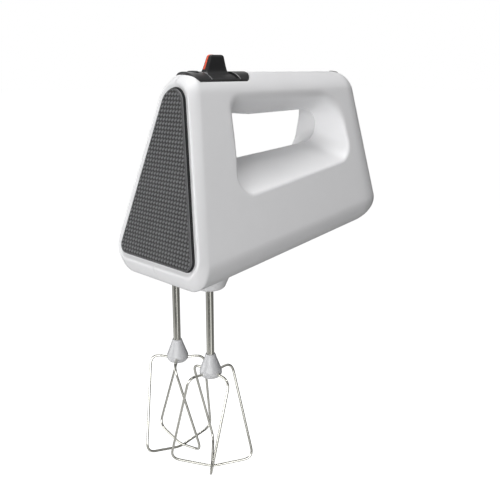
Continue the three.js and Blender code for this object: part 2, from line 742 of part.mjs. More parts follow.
// Mains side: control board, capacitor, terminal block, switch lead.
piece("control_board", box(-22, 22, 112, 150, -103, -101.4), BOARD);
piece("capacitor", rod("z", [-12, 124, 0], 5, -101, -88, 0, 16), RED);
piece("terminal_block", box(4, 18, 132, 144, -101, -92), NYLON);
const leadPath = new THREE.CatmullRomCurve3(
  [
    [0, 26, -24],
    [0, 60, -16],
    [0, 105, -15],
    [0, 127, -24],
    [0, 134, -50],
    [0, 131, -84],
    [0, 128, -97],
  ].map((p) => new THREE.Vector3(...p)),
);
piece("switch_lead", solid(tube(leadPath, 1.3, 20, 6)), RED);

export default root;
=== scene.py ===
import json
import math

import bpy
import numpy as np
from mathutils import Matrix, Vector


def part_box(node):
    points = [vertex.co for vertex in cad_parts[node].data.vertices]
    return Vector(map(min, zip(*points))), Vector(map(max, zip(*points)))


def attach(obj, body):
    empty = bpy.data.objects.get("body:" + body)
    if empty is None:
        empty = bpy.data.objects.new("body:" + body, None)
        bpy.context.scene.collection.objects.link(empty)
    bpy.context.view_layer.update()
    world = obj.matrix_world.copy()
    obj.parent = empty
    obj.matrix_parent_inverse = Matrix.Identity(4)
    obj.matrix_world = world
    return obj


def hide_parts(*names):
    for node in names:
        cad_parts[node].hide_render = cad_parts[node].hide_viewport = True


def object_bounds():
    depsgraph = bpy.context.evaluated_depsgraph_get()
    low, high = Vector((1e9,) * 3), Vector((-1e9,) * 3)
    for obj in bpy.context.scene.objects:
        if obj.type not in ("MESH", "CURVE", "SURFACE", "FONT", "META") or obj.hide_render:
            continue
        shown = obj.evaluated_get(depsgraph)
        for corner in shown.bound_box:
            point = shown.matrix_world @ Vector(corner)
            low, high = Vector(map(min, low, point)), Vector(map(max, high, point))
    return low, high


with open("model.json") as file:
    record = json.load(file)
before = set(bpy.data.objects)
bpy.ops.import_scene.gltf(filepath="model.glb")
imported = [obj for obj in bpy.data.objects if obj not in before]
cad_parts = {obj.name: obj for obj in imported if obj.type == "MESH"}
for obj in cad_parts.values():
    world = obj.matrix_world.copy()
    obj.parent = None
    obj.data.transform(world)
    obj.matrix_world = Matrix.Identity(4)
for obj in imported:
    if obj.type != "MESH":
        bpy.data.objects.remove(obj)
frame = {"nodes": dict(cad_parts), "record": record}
cad_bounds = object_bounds()
scene = bpy.context.scene

# Shapes are in millimetres from a datum on the seam, over the spindles, level with the handle top.
MM = 0.001
shaft_low, shaft_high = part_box("beater_shaft_right")
DATUM = np.array([0.0, (shaft_low[1] + shaft_high[1]) / 2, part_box("right_shell")[1][2]])
SPINDLE_X = (shaft_low[0] + shaft_high[0]) / 2 / MM

# Mesh sizes of the field surfaces and of the plate
SHELL_STEP = 0.8
FINE_STEP = 0.36
PLATE_STEP = 0.35

# Housing
FRONT_Y = -9.2  # front face at the handle top
FRONT_LEAN = 0.185  # y gained per mm of height
REAR_Y = 153  # rear face at the handle top
REAR_LEAN = -0.065
HANDLE_R = 17.5
FLANK = 0.3  # how fast the housing widens downwards
FLOOR_Z = -131.3  # underside at the front
FLOOR_RISE = 0.125  # z gained per mm behind the spindles
FLOOR_STEP = (-25, 30, 6.75)  # steeper climb under the spindles: from y, to y, by z
FOOT_X = 30.4  # middle of the rounded lower corners
FOOT_R = 15
BEVEL = 8  # depth of the convex bevel round the front
REAR_ROUND = 13  # how far the flanks curl in at the rear
WALL = 2.3
SKIN = 0.08  # the smooth skin lies this far inside the outline
SEAM = 0.25  # each half stops this far from the centre plane
GAP = 0.3  # clearance round the saddle
SCREWS = [(11.5, -44), (-14, -118), (144, -38), (106.5, -106.5), (84, -9)]  # (y, z) of each casing screw
SCREW_BORE = 1.75
HEAD_BORE = 3.1  # for the screw heads, in the left half
HEAD_X = 9  # the head bore is this far out and more
POST_R = 3.9  # solid round each screw

# Panel seat in the front face: top circle z and radius, foot circle x, z and radius
CREST = (-21.4, 15.5, 31.3, -110, 11)  # at the front rim
SEAT = (-20.4, 12, 31.3, -111.4, 7.1)  # at the seat's bottom
SEAT_DEPTH = 2
PLATE_INSET = 1.45
PITCH = (2.95, 2.6)  # of the pillows on the plate, along x and z
TUFT = 0.8  # depth of the grooves between the pillows

# Collar under the housing that holds a spindle
BOSS_Z = -137.5  # lower end
BOSS_PROFILE = [(0, 9.4), (2, 10.5), (8.5, 13.3), (14, 15.1)]  # (height over the lower end, radius)
BOSS_CORE = (9.2, -122)  # radius and top z of the solid core
BOSS_BORE = (5.3, -100)  # radius and top z of the bore

# Finger opening, as corners (y, z, corner radius) on the seam and on the flank
HOLE = [(24, -25.8, 9), (52, -28.2, 50), (121, -26.8, 11), (121, -50.2, 11), (26, -58, 9)]
RIM = [(22, -16.8, 10), (70, -16.4, 60), (124.5, -16.6, 22), (130.5, -61.5, 14), (12, -77.5, 11)]

# Saddle, selector and eject button on the handle top
SADDLE_R = 17.8
SADDLE_X = 12.3  # half the width
SHEET = 2.2  # thickness
DRUM_R = 16.4
DRUM_Y = (10.7, 33.5)
DRUM_SPREAD = math.radians(57)  # half angle of the drum's sector
WINDOW_X = 11.4  # half the width of the saddle's window
FIN_TOP = 10.7
BUTTON_Y = 4.2

# Bushing and screw cap at the rear
BUSHING_Y = 149.8
BUSHING_Z = -88
BUSHING_BORE = (6.9, 146)  # radius of the hole in the shells, and the y where it starts
CAP_AT = (0, 141.5, -0.7)
CAP_TILT = math.radians(12)
CAP_BORE = 3.8

# Beaters
SHAFT_R = 2.6
SHAFT_TOP = -83.4
HUB_TOP = -183.3
HUB_BOTTOM = -199.8
WIRE_R = 0.85
ARM_R = 19  # reach of the arms under the hub
LOOP_R = (28.95, 25.45)  # large loop, small loop
LOOP_BOTTOM = (-262, -260.5)
CROSS_Z = (-268.5, -265.9)  # where the loops cross the axis, at the bottom
TWIST = math.radians(43)  # how far the loops' lower ends are turned


# ---------------------------------------------------------------- materials

def node(tree, kind, inputs=None, **settings):
    """Adds a node, with inputs set to values or linked from other sockets."""
    made = tree.nodes.new(kind)
    for key, value in settings.items():
        setattr(made, key, value)
    for key, value in (inputs or {}).items():
        if isinstance(value, bpy.types.NodeSocket):
            tree.links.new(value, made.inputs[key])
        else:
            made.inputs[key].default_value = value
    return made


def noise(tree, where, size, detail=3.0, rough=0.55):
    """Noise whose features are about size millimetres across."""
    settings = {"Vector": where, "Scale": 1 / (size * MM), "Detail": detail, "Roughness": rough}
    return node(tree, "ShaderNodeTexNoise", settings).outputs["Fac"]


def spread(tree, value, low, high, to_low, to_high):
    """Value from low..high mapped to to_low..to_high, and held there."""
    settings = {"Value": value, "From Min": low, "From Max": high, "To Min": to_low, "To Max": to_high}
    return node(tree, "ShaderNodeMapRange", settings).outputs["Result"]


def math_node(tree, operation, *values):
    """The result of a math operation on values or sockets."""
    return node(tree, "ShaderNodeMath", dict(enumerate(values)), operation=operation).outputs[0]


def mixed(tree, factor, dark, light):
    """A colour from dark at factor 0 to light at factor 1, each a list or a socket."""
    made = node(tree, "ShaderNodeMix", {"Factor": factor}, data_type="RGBA")
    for slot, color in ((6, dark), (7, light)):
        if isinstance(color, bpy.types.NodeSocket):
            tree.links.new(color, made.inputs[slot])
        else:
            made.inputs[slot].default_value = color
    return made.outputs[2]


def finish(name, color, rough, metal=0.0, grain=0.5, relief=0.012, blotch=0.04, streak=None, worn=0.0,
           coat=0.0, tint=None, speck=0.0, shine=0.5, painted_groove_shade=0.0):
    """A moulded, cast or drawn surface.

    grain and relief are the size and depth of the fine bump in mm, blotch the colour change over a
    hand's width and tint the darker colour in it. streak stretches the grain along x, y, z, worn lightens
    the edges, speck scatters lighter spots, shine is the level of the mirror-like part, and the last
    argument is painted shade: it darkens the colour at the low points of the mesh's relief attribute.
    """
    material = bpy.data.materials.new(name)
    material.use_nodes = True
    tree = material.node_tree
    shader = tree.nodes["Principled BSDF"]
    shader.inputs["Metallic"].default_value = metal
    shader.inputs["Coat Weight"].default_value = coat
    shader.inputs["Specular IOR Level"].default_value = shine
    shader.inputs["Coat Roughness"].default_value = 0.12
    place = node(tree, "ShaderNodeTexCoord").outputs["Object"]
    fine_place = place
    if streak:
        fine_place = node(tree, "ShaderNodeMapping", {"Vector": place, "Scale": streak}).outputs["Vector"]
    fine = noise(tree, fine_place, grain, 4.0, 0.6)
    patch = noise(tree, place, 26, 3.0)
    smudge = noise(tree, place, 7, 5.0, 0.65)
    light = [min(1, c * (1 + blotch)) for c in color] + [1]
    dark = [*tint, 1] if tint else [c * (1 - blotch) for c in color] + [1]
    shade = mixed(tree, spread(tree, patch, 0.3, 0.7, 0, 1), dark, light)
    fleck = [min(1, c * (1 + 0.9 * blotch) + speck) for c in color] + [1]
    shade = mixed(tree, spread(tree, fine, 0.35, 0.75, 0, 0.5), shade, fleck)
    if worn:
        edge = node(tree, "ShaderNodeNewGeometry").outputs["Pointiness"]
        rub = math_node(tree, "MULTIPLY", spread(tree, edge, 0.52, 0.62, 0, worn),
                        spread(tree, smudge, 0.35, 0.6, 0.3, 1))
        shade = mixed(tree, rub, shade, [min(1, c * 1.6 + 0.05) for c in color] + [1])
    # Painted shade: the colour darkens where the mesh's relief attribute is low.
    if painted_groove_shade:
        height = node(tree, "ShaderNodeAttribute", attribute_name="relief").outputs["Fac"]
        shade = mixed(tree, height, [c * (1 - painted_groove_shade) for c in color] + [1], shade)
    tree.links.new(shade, shader.inputs["Base Color"])
    uneven = spread(tree, smudge, 0.3, 0.72, rough * 0.86, min(1, rough * 1.2))
    tree.links.new(uneven, shader.inputs["Roughness"])
    bump = node(tree, "ShaderNodeBump", {"Height": fine, "Distance": relief * MM, "Strength": 1.0})
    tree.links.new(bump.outputs["Normal"], shader.inputs["Normal"])
    return material


FINISHES = {
    "shell_white": finish("white_plastic", (0.80, 0.80, 0.81), 0.36, grain=0.35, relief=0.004,
                          blotch=0.012, worn=0.1),
    "trim_black": finish("black_plastic", (0.02, 0.02, 0.021), 0.42, grain=0.6, relief=0.03,
                         blotch=0.12, worn=0.3, shine=0.35),
    "deep_black": finish("gasket_black", (0.01, 0.01, 0.011), 0.5, grain=0.5, relief=0.02,
                         blotch=0.12, shine=0.2),
    # The panel plate's colour has painted shade: nearly black in the grooves between the pillows and darker
    # at its rim.
    "panel_grey": finish("panel_plastic", (0.2, 0.203, 0.208), 0.46, grain=0.25, relief=0.02,
                         blotch=0.06, worn=0.2, shine=0.35, painted_groove_shade=0.97),
    "stripe_orange": finish("orange_plastic", (0.80, 0.105, 0.045), 0.4, grain=0.4, relief=0.008,
                            blotch=0.05),
    "cap_grey": finish("grey_plastic", (0.14, 0.135, 0.13), 0.5, grain=0.4, relief=0.015, blotch=0.05),
    "hub_grey": finish("hub_plastic", (0.68, 0.685, 0.7), 0.34, grain=0.5, relief=0.006,
                       blotch=0.03, coat=0.3),
    "steel": finish("nickel_steel", (0.6, 0.595, 0.545), 0.13, 1.0, grain=0.5, relief=0.004,
                    blotch=0.05, streak=(1, 1, 0.08)),
    "dark_steel": finish("dull_steel", (0.20, 0.205, 0.215), 0.42, 1.0, grain=0.6, relief=0.02,
                         blotch=0.14, streak=(1, 0.05, 1)),
    "copper": finish("copper_winding", (0.46, 0.155, 0.055), 0.36, 1.0, grain=0.7, relief=0.16,
                     blotch=0.12, streak=(1, 1, 0.1), tint=(0.30, 0.08, 0.03)),
    "brass": finish("brass", (0.47, 0.33, 0.10), 0.33, 1.0, grain=0.6, relief=0.012, blotch=0.1,
                    streak=(0.1, 1, 1)),
    "carbon": finish("carbon", (0.022, 0.022, 0.024), 0.7, grain=0.35, relief=0.04, blotch=0.2, speck=0.02),
    "nylon": finish("nylon", (0.80, 0.76, 0.63), 0.46, grain=0.5, relief=0.012, blotch=0.05, worn=0.2),
    "board": finish("circuit_board", (0.022, 0.13, 0.055), 0.5, grain=0.45, relief=0.02, blotch=0.15,
                    streak=(0.15, 1, 1)),
    "red_plastic": finish("red_plastic", (0.36, 0.035, 0.025), 0.42, grain=0.5, relief=0.01, blotch=0.08),
    # Light grey for the printed digits and for the painted highlights along the saddle's window.
    "mark_grey": finish("print_and_painted_highlight", (0.42, 0.42, 0.43), 0.5, grain=0.3, relief=0.006, blotch=0.08),
}


# ---------------------------------------------------------------- mesh tools

def piece(name, points, faces, body, slot, stands_for=(), look=None, crease=34):
    """A mesh object from points in mm, shaded smooth except across edges sharper than crease degrees."""
    mesh = bpy.data.meshes.new(name)
    mesh.from_pydata((DATUM + np.asarray(points) * MM).tolist(), [], faces)
    mesh.validate()
    mesh.update()
    mesh.shade_smooth()
    mesh.set_sharp_from_angle(angle=math.radians(crease))
    mesh.materials.append(FINISHES[look or slot])
    made = bpy.data.objects.new(name, mesh)
    scene.collection.objects.link(made)
    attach(made, body)
    if stands_for:
        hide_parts(*stands_for)
    return made


def smooth_max(a, b, k):
    """The greater of two fields, with the crease between them rounded over a width of about k."""
    h = np.maximum(k - np.abs(a - b), 0) / k
    return np.maximum(a, b) + h * h * k / 4


def smooth_min(a, b, k):
    return -smooth_max(-a, -b, k)


def slope_at(field, points, here, nudge):
    """Gradient of a field at points, where its value is here."""
    ahead = [field(points + np.eye(3)[i] * nudge) - here for i in range(3)]
    return np.stack(ahead, -1) / nudge


def contour(field, low, high, step):
    """Points and quads of the surface where field is 0, with sharp corners kept.

    field is negative inside.
    """
    axes = [np.arange(a, b + step, step) for a, b in zip(low, high)]
    grid = np.stack(np.meshgrid(*axes, indexing="ij"), -1)
    size = np.array(grid.shape[:3])
    value = field(grid.reshape(-1, 3)).reshape(size)
    inside = value < 0

    # Grid edges that cross the surface, and where they cross it
    crossings = []
    for axis in range(3):
        start = [slice(None)] * 3
        end = [slice(None)] * 3
        start[axis] = slice(None, -1)
        end[axis] = slice(1, None)
        at = np.argwhere(inside[tuple(start)] != inside[tuple(end)])
        beyond = at.copy()
        beyond[:, axis] += 1
        crossings.append((axis, at, beyond))
    starts = np.concatenate([grid[tuple(at.T)] for _, at, _ in crossings])
    along = np.concatenate([np.tile(np.eye(3)[axis] * step, (len(at), 1)) for axis, at, _ in crossings])
    v0 = np.concatenate([value[tuple(at.T)] for _, at, _ in crossings])
    v1 = np.concatenate([value[tuple(beyond.T)] for _, _, beyond in crossings])
    t0 = np.zeros(len(v0))
    t1 = np.ones(len(v0))
    for _ in range(2):
        t = t0 + (t1 - t0) * np.clip(v0 / (v0 - v1), 0.02, 0.98)
        v = field(starts + along * t[:, None])
        same = (v < 0) == (v0 < 0)
        t0, v0 = np.where(same, t, t0), np.where(same, v, v0)
        t1, v1 = np.where(same, t1, t), np.where(same, v1, v)
    t = t0 + (t1 - t0) * v0 / np.where(v0 == v1, 1, v0 - v1)
    hit = starts + along * t[:, None]
    nudge = step * 0.02
    normal = slope_at(field, hit, field(hit), nudge)
    normal /= np.maximum(np.linalg.norm(normal, axis=1, keepdims=True), 1e-12)

    # One quad for each crossed edge, between the four cells round it
    cell_ids = []
    owners = []
    quads = []
    first = 0
    for axis, at, _ in crossings:
        u, v = (axis + 1) % 3, (axis + 2) % 3
        around = []
        for du, dv in ((-1, -1), (0, -1), (0, 0), (-1, 0)):
            cell = at.copy()
            cell[:, u] += du
            cell[:, v] += dv
            around.append((cell[:, 0] * size[1] + cell[:, 1]) * size[2] + cell[:, 2])
        around = np.stack(around, -1)
        leaving = inside[tuple(at.T)]
        quads.append(np.where(leaving[:, None], around, around[:, ::-1]))
        cell_ids.append(around.ravel())
        owners.append(np.repeat(np.arange(first, first + len(at)), 4))
        first += len(at)
    cell_ids = np.concatenate(cell_ids)
    owners = np.concatenate(owners)

    # One point in each cell, where the planes through its crossings meet
    cells, index = np.unique(cell_ids, return_inverse=True)
    count = np.bincount(index).astype(float)
    n, p = normal[owners], hit[owners]
    middle = np.stack([np.bincount(index, p[:, i]) / count for i in range(3)], -1)
    away = np.einsum("ij,ij->i", n, p - middle[index])
    planes = np.empty((len(cells), 3, 3))
    pull = np.empty((len(cells), 3))
    for i in range(3):
        pull[:, i] = np.bincount(index, n[:, i] * away)
        for j in range(3):
            planes[:, i, j] = np.bincount(index, n[:, i] * n[:, j])
    planes += np.eye(3) * 0.06
    meeting = np.linalg.solve(planes, pull[:, :, None])[:, :, 0]
    points = middle + np.clip(meeting, -step * 0.8, step * 0.8)
    for _ in range(2):
        off = field(points)
        slope = slope_at(field, points, off, nudge)
        move = off / np.maximum((slope * slope).sum(1), 0.2)
        points -= slope * np.clip(move, -step * 0.3, step * 0.3)[:, None]
    quads = np.searchsorted(cells, np.concatenate(quads))
    return points, quads.tolist()


def loft(rings):
    """Quads over rings of equal length, with a flat face over each end."""
    n = len(rings[0])
    points = np.concatenate(rings)
    faces = [(i * n + j, i * n + (j + 1) % n, (i + 1) * n + (j + 1) % n, (i + 1) * n + j)
             for i in range(len(rings) - 1) for j in range(n)]
    faces.append(tuple(range(n - 1, -1, -1)))
    faces.append(tuple(range((len(rings) - 1) * n, len(rings) * n)))
    return points, faces


def rounded(corners, arc):
    """The closed outline through corners (a, b, radius), each an arc of that radius in arc steps."""
    ring = []
    count = len(corners)
    for i, (a, b, radius) in enumerate(corners):
        here = np.array([a, b], float)
        if radius == 0:
            ring.append(here)
            continue
        before = np.array(corners[i - 1][:2], float) - here
        after = np.array(corners[(i + 1) % count][:2], float) - here
        before /= np.linalg.norm(before)
        after /= np.linalg.norm(after)
        half = math.acos(np.clip(before @ after, -1, 1)) / 2
        centre = here + (before + after) / np.linalg.norm(before + after) * radius / math.sin(half)
        first = here + before * radius / math.tan(half) - centre
        last = here + after * radius / math.tan(half) - centre
        a0 = math.atan2(first[1], first[0])
        turn = (math.atan2(last[1], last[0]) - a0 + math.pi) % (2 * math.pi) - math.pi
        for k in range(arc + 1):
            angle = a0 + turn * k / arc
            ring.append(centre + radius * np.array([math.cos(angle), math.sin(angle)]))
    return np.array(ring)


def turned(profile, axis, at, segments):
    """A closed profile of (radius, height, corner radius) turned about the z or y axis through at."""
    outline = rounded(profile, 4)
    angles = np.arange(segments) * 2 * math.pi / segments
    points = []
    for r, h in outline:
        ring = np.stack([r * np.cos(angles), r * np.sin(angles), np.full(segments, h)], -1)
        points.append(ring if axis == "z" else ring[:, [0, 2, 1]] * (-1, 1, 1))
    count = len(outline)
    faces = [(i * segments + j, i * segments + (j + 1) % segments,
              (i + 1) % count * segments + (j + 1) % segments, (i + 1) % count * segments + j)
             for i in range(count) for j in range(segments)]
    return np.concatenate(points) + at, faces


def tube(path, radius, sides):
    """A round wire along a path of points, with closed ends."""
    path = np.asarray(path)
    ahead = np.gradient(path, axis=0)
    ahead /= np.linalg.norm(ahead, axis=1, keepdims=True)
    side = np.cross(ahead[0], (0, 0, 1) if abs(ahead[0][2]) < 0.9 else (1, 0, 0))
    angles = np.arange(sides) * 2 * math.pi / sides
    rings = []
    for here, forward in zip(path, ahead):
        side = side - forward * (side @ forward)
        side /= np.linalg.norm(side)
        other = np.cross(forward, side)
        rings.append(here + radius * (np.cos(angles)[:, None] * side + np.sin(angles)[:, None] * other))
    return loft(rings)


# ---------------------------------------------------------------- housing

def front_y(z):
    return FRONT_Y + FRONT_LEAN * z


def rear_y(z):
    return REAR_Y + REAR_LEAN * z


def outline_distance(x, z, top_z, top_r, foot_x, foot_z, foot_r):
    """Distance to a rounded A shape: the hull of one top circle and two foot circles."""
    dx, dz = foot_x, foot_z - top_z
    lean = np.arctan2(dz, dx) + np.arccos((top_r - foot_r) / np.hypot(dx, dz))
    nx, nz = np.cos(lean), np.sin(lean)  # normal of the straight flank
    distance = np.maximum(nx * x + nz * (z - top_z) - top_r, foot_z - foot_r - z)
    on_top = nx * (z - top_z) - nz * x > 0
    distance = np.maximum(distance, np.where(on_top, np.hypot(x, z - top_z) - top_r, -1e3))
    qx, qz = x - foot_x, z - foot_z
    on_foot = (nx * qz - nz * qx < 0) & (qx > 0)
    return np.maximum(distance, np.where(on_foot, np.hypot(qx, qz) - foot_r, -1e3))


def housing(x, y, z):
    """Distance to the closed outer form: A-shaped sections, convex front bevel, rounded rear, panel seat."""
    start, end, climb = FLOOR_STEP
    floor = FLOOR_Z + climb * np.clip((y - start) / (end - start), 0, 1) + FLOOR_RISE * np.maximum(0, y - end)
    foot_x = FOOT_X - FLANK * (floor - FLOOR_Z)
    section = outline_distance(x, z, -HANDLE_R, HANDLE_R, foot_x, floor + FOOT_R, FOOT_R)
    depth = y - front_y(z)
    share = np.clip(1 - depth / BEVEL, 0, 1) ** 1.5
    crest = outline_distance(x, z, *CREST)
    body = section * (1 - share) + crest * share
    body = smooth_max(body, -depth * math.cos(math.atan(FRONT_LEAN)), 1.8)
    reach = 16 + 10 * np.clip(-z / 110, 0, 1)  # length of the rounding at the rear
    behind = rear_y(z) - y
    curl = np.clip(1 - behind / reach, 0, 1)
    body = body + REAR_ROUND * (1 - np.sqrt(1 - 0.98 * curl * curl))
    body = smooth_max(body, -behind * math.cos(math.atan(REAR_LEAN)), 2.0)
    sunk = np.clip(depth / SEAT_DEPTH, 0, 1)
    funnel = crest * (1 - sunk) + outline_distance(x, z, *SEAT) * sunk
    return smooth_max(body, -np.maximum(funnel, depth - SEAT_DEPTH), 2.0) + SKIN


def flank_x(z):
    """Half width of the housing at a height, at the rim of the finger opening."""
    handle = np.sqrt(HANDLE_R ** 2 - np.maximum(0, HANDLE_R + z) ** 2)
    return handle + np.maximum(0, -HANDLE_R - z) * FLANK * 0.97


def ring_distance(y, z, ring_y, ring_z):
    """Distance of each point to its own polygon, negative inside."""
    ey, ez = np.roll(ring_y, -1, 1) - ring_y, np.roll(ring_z, -1, 1) - ring_z
    wy, wz = y[:, None] - ring_y, z[:, None] - ring_z
    t = np.clip((wy * ey + wz * ez) / (ey * ey + ez * ez), 0, 1)
    away = np.sqrt(((wy - ey * t) ** 2 + (wz - ez * t) ** 2).min(1))
    low = wz >= 0
    passes = low != np.roll(low, -1, 1)
    ahead = wy * ez < ey * wz
    inside = (passes & (ahead == (ez > 0))).sum(1) % 2 == 1
    return np.where(inside, -away, away)


hole_ring = rounded(HOLE, 14)
rim_ring = rounded(RIM, 14)


def opening_slice(x, y, z):
    """Distance, in the plane across x, to the finger opening, which flares from the seam to the flanks."""
    s = np.clip(x[:, None] / (flank_x(rim_ring[:, 1]) + 0.4), 0, 1)
    up = np.clip((hole_ring[:, 1] + 44) / 14, -1, 1)
    low = 1 - (1 - s) ** 1.8
    high = s ** 1.35
    g = low + (high - low) * (up + 1) / 2
    return ring_distance(y, z, hole_ring[:, 0] + (rim_ring[:, 0] - hole_ring[:, 0]) * g,
                         hole_ring[:, 1] + (rim_ring[:, 1] - hole_ring[:, 1]) * g)


def opening(x, y, z):
    """Distance to the finger opening."""
    here = opening_slice(x, y, z)
    slope = (opening_slice(x + 0.2, y, z) - here) / 0.2
    return here / np.sqrt(1 + np.minimum(slope * slope, 6))


def with_opening(body, x, y, z):
    """The body with the finger opening cut through it and its rim rounded."""
    near = (body < 4) & (y > 8) & (y < 140) & (z < -8) & (z > -88)
    cut = np.full(len(x), -50.0)
    batches = max(1, near.sum() // 40000)
    for part in np.array_split(np.flatnonzero(near), batches):
        cut[part] = -opening(x[part], y[part], z[part])
    rim_round = 1.7 + 3.0 * np.clip((z + 52) / 30, 0, 1)
    return smooth_max(body, cut, rim_round)


def boss(x, y, z):
    """Distance to the tapered collar under the housing that holds one spindle."""
    ring = np.interp(z - BOSS_Z, *zip(*BOSS_PROFILE))
    return smooth_max(np.hypot(x - SPINDLE_X, y) - ring, np.abs(z - BOSS_Z - 10) - 9.9, 2.4)


def saddle_plan(x, y):
    """Distance to the saddle's plan: straight sides, a bowed front edge and a bowed rear edge."""
    front = -4.4 + 0.0238 * x * x - y
    rear = (y - 48 + 0.0463 * x * x) * 0.8
    return smooth_max(smooth_max(np.abs(x) - SADDLE_X, rear, 1.2), front * 0.9, 0.6)


def bore(distance, radius, beyond):
    """A round hole from the distance to its axis, open where beyond is negative."""
    return np.maximum(distance - radius, beyond)


def shell(points, side):
    """One half of the housing: a thin wall with the cuts for the saddle, spindle, bushing, cap and screws."""
    x, y, z = points[:, 0] * side, points[:, 1], points[:, 2]
    spindle = np.hypot(x - SPINDLE_X, y)
    outer = with_opening(housing(np.abs(x), y, z), np.abs(x), y, z)
    core_r, core_top = BOSS_CORE
    hollow = np.maximum(outer + WALL, -bore(spindle, core_r, z - core_top))
    for sy, sz in SCREWS:
        hollow = np.maximum(hollow, POST_R - np.hypot(y - sy, z - sz))
    wall = np.maximum(smooth_min(outer, boss(x, y, z), 2.0), -hollow)
    pocket = np.maximum(saddle_plan(x, y) - GAP, -10 - z)
    from_cap_y, from_cap_z = y - CAP_AT[1], z - CAP_AT[2]
    cap_y = from_cap_y * math.cos(CAP_TILT) - from_cap_z * math.sin(CAP_TILT)
    cap_z = from_cap_z * math.cos(CAP_TILT) + from_cap_y * math.sin(CAP_TILT)
    bore_r, bore_top = BOSS_BORE
    inlet_r, inlet_y = BUSHING_BORE
    cuts = [pocket, bore(spindle, bore_r, z - bore_top),
            bore(np.hypot(x, z - BUSHING_Z), inlet_r, inlet_y - y),
            bore(np.hypot(x, cap_y), CAP_BORE, -1.5 - cap_z)]
    for sy, sz in SCREWS:
        from_screw = np.hypot(y - sy, z - sz)
        cuts.append(bore(from_screw, SCREW_BORE, x * side - 12))
        if side < 0:
            cuts.append(bore(from_screw, HEAD_BORE, HEAD_X - x))
    for cut in cuts:
        wall = np.maximum(wall, -cut)
    return np.maximum(wall, SEAM - x)


def cut_away(made, points, faces):
    """Cuts a closed mesh out of a piece."""
    mesh = bpy.data.meshes.new("cutter")
    mesh.from_pydata((DATUM + np.asarray(points) * MM).tolist(), [], faces)
    cutter = bpy.data.objects.new("cutter", mesh)
    scene.collection.objects.link(cutter)
    cut = made.modifiers.new("cut", "BOOLEAN")
    cut.operation = "DIFFERENCE"
    cut.solver = "MANIFOLD"
    cut.object = cutter
    result = bpy.data.meshes.new_from_object(made.evaluated_get(bpy.context.evaluated_depsgraph_get()))
    made.modifiers.remove(cut)
    made.data = result
    bpy.data.objects.remove(cutter)


def drum_pocket():
    """The room that the selector drum turns in, under the saddle."""
    radius = SADDLE_R - 1.05
    floor = 4.5  # over the handle's axis
    steps = 40
    reach = math.acos(floor / radius)
    angles = math.pi / 2 + np.linspace(reach, -reach, steps)
    arch = np.stack([np.cos(angles), np.sin(angles)], -1) * radius
    return loft([np.stack([arch[:, 0], np.full(steps, y), arch[:, 1] - HANDLE_R], -1)
                 for y in (DRUM_Y[0] - 0.8, DRUM_Y[1] + 0.8)])


for word, side in (("right", 1), ("left", -1)):
    low, high = (-1.1, -36, -139), (47, 177, 2.5)
    if side < 0:
        low, high = (-high[0], *low[1:]), (-low[0], *high[1:])
    points, faces = contour(lambda p: shell(p, side), low, high, SHELL_STEP)
    half = piece(f"housing_{word}", points, faces, "housing", "shell_white", [f"{word}_shell"])
    cut_away(half, *drum_pocket())


# ---------------------------------------------------------------- front panel

def ring_outline(inset):
    """Points (x, z) round the panel seat's outline, shrunk by inset."""
    arc = 20  # steps in each rounded corner
    top_z, top_r, foot_x, foot_z, foot_r = SEAT
    apart = math.hypot(foot_x, foot_z - top_z)
    lean = math.atan2(foot_z - top_z, foot_x) + math.acos((top_r - foot_r) / apart)
    top, bottom = math.pi / 2, -math.pi / 2
    half = [(top_r - inset, top + (lean - top) * i / arc, 0, top_z) for i in range(arc + 1)]
    half += [(foot_r - inset, lean + (bottom - lean) * i / arc, foot_x, foot_z) for i in range(arc + 1)]
    right = np.array([(cx + r * math.cos(a), cz + r * math.sin(a)) for r, a, cx, cz in half])
    return np.concatenate([right, right[:0:-1] * (-1, 1)])


def on_front(xz, depth):
    """Points at (x, z) and a depth behind the plane of the front rim."""
    return np.stack([xz[:, 0], front_y(xz[:, 1]) + depth, xz[:, 1]], -1)


surround = [(0.45, 1.65), (0.7, 0.9), (0.95, 0.65), (1.3, 0.6)]  # (inset, depth) from the seat outwards
points, faces = loft([on_front(ring_outline(inset), depth) for inset, depth in surround])
piece("panel_surround", points, faces, "housing", "trim_black", ["panel_carrier"], look="deep_black")


